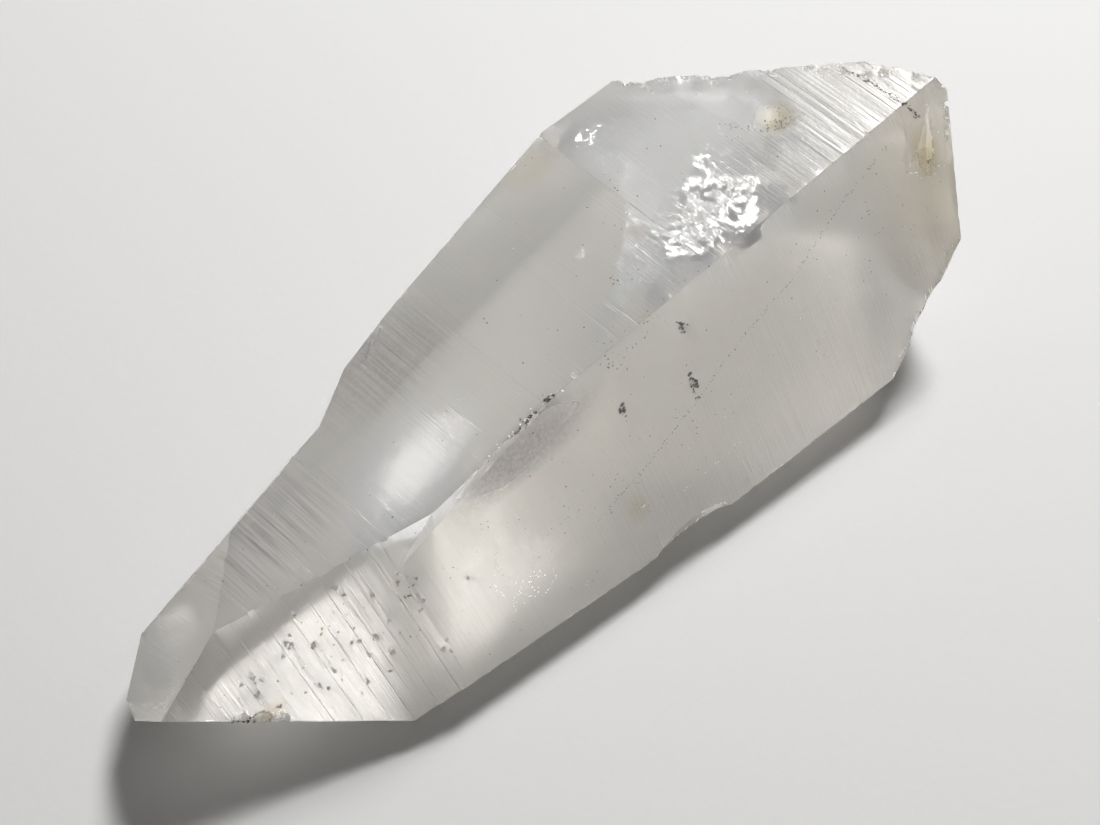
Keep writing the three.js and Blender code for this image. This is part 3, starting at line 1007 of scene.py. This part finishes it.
clay, nodes, links, shader = new_material("clay and rust")
shader.inputs["Roughness"].default_value = EARTHY
tone = add(nodes, "ShaderNodeAttribute", attribute_name="tone").outputs["Fac"]
blotches = add(nodes, "ShaderNodeTexNoise", Scale=BLOTCHES, Detail=2)
links.new(add(nodes, "ShaderNodeTexCoord").outputs["Object"], blotches.inputs["Vector"])
ramp = nodes.new("ShaderNodeValToRGB")
ramp.color_ramp.elements[0].color = CLAY_COLOUR
ramp.color_ramp.elements[1].color = BRUISE_COLOUR
ramp.color_ramp.elements.new(RUST).color = RUST_COLOUR
links.new(tone, ramp.inputs["Fac"])
dust = maths(nodes, links, "MULTIPLY", blotches.outputs["Fac"], DUSTY)
links.new(mix(nodes, links, dust, ramp.outputs[0], DUST), shader.inputs["Base Color"])
crumbs_mesh.materials.append(clay)
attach(crumbs_piece, "root")
print("clay finish on", crumbs_piece.name)

# %% [markdown]
# The stage is a sheet of white paper, a hair below the crystal: a stone touches paper in a few
# points only, and the air under it is what makes its lower face shine back. A backdrop that
# curves up would hide the horizon, but the camera looks down and sees none, so it is flat. One
# soft window stands beyond the crystal, high up, and the room fills the shadows.

# %% Paper
AIR_GAP = 0.0004
SHEET = 3
PAPER_WHITE = (0.82, 0.815, 0.81, 1)
PAPER_ROUGHNESS = 0.9
PAPER_GRAIN, GRAIN_RELIEF, GRAIN_DEPTH = 900, 0.12, 0.0002

bpy.ops.object.select_all(action="DESELECT")
bpy.ops.mesh.primitive_plane_add(size=SHEET, location=(0, 0, -AIR_GAP))
paper = bpy.context.object
paper.name = "paper"
sheet, nodes, links, shader = new_material("white paper")
shader.inputs["Roughness"].default_value = PAPER_ROUGHNESS
shader.inputs["Base Color"].default_value = PAPER_WHITE
grain = add(nodes, "ShaderNodeTexNoise", Scale=PAPER_GRAIN, Detail=2)
links.new(add(nodes, "ShaderNodeTexCoord").outputs["Object"], grain.inputs["Vector"])
bump = add(nodes, "ShaderNodeBump", Strength=GRAIN_RELIEF, Distance=GRAIN_DEPTH)
links.new(grain.outputs["Fac"], bump.inputs["Height"])
links.new(bump.outputs[0], shader.inputs["Normal"])
paper.data.materials.append(sheet)
print("paper", round(AIR_GAP / MM, 2), "mm below the crystal")

# %% Window and room
ROOM_WHITE, ROOM_LIGHT = (1, 0.99, 0.975, 1), 0.13
WINDOW_PLACE = (0.231, 0.0765, 0.378)
WINDOW_SIZE, WINDOW_POWER = 0.12, 1.8

room = bpy.data.worlds.new("room")
room.use_nodes = True
room.node_tree.nodes["Background"].inputs["Color"].default_value = ROOM_WHITE
room.node_tree.nodes["Background"].inputs["Strength"].default_value = ROOM_LIGHT
bpy.context.scene.world = room

light = bpy.data.lights.new("window", "AREA")
light.size = WINDOW_SIZE
light.energy = WINDOW_POWER
window = bpy.data.objects.new("window", light)
window.location = WINDOW_PLACE
window.rotation_euler = (-Vector(WINDOW_PLACE)).to_track_quat("-Z", "Y").to_euler()
bpy.context.scene.collection.objects.link(window)
print("window", round(Vector(WINDOW_PLACE).length, 2), "m from the crystal")

# %% [markdown]
# The camera looks down at the crystal from the front left, through a long lens that keeps its
# edges nearly parallel. Light that has turned many times inside quartz is what makes it glow,
# so the renderer may follow a ray through many faces, and bright paths aren't clipped. Clipping
# them would give a smoother picture sooner, but a duller stone.

# %% Camera
EYE_PLACE = (-0.0774, -0.078, 0.18)
EYE_TILT, EYE_TURN = math.radians(33), math.radians(-46)
LENS, SENSOR, NEAREST = 72, 36, 0.01
FACES_THROUGH, MIRRORINGS = 14, 8

eye = bpy.data.cameras.new("camera")
eye.lens = LENS
eye.sensor_width = SENSOR
eye.clip_start = NEAREST
camera = bpy.data.objects.new("camera", eye)
camera.location = EYE_PLACE
camera.rotation_euler = (EYE_TILT, 0, EYE_TURN)
bpy.context.scene.collection.objects.link(camera)
bpy.context.scene.camera = camera

scene = bpy.context.scene
scene.view_settings.view_transform = "Standard"
scene.cycles.sample_clamp_indirect = 0
scene.cycles.max_bounces = FACES_THROUGH
scene.cycles.glossy_bounces = MIRRORINGS
scene.cycles.transmission_bounces = FACES_THROUGH
print("camera", round(camera.location.length, 2), "m from the crystal")
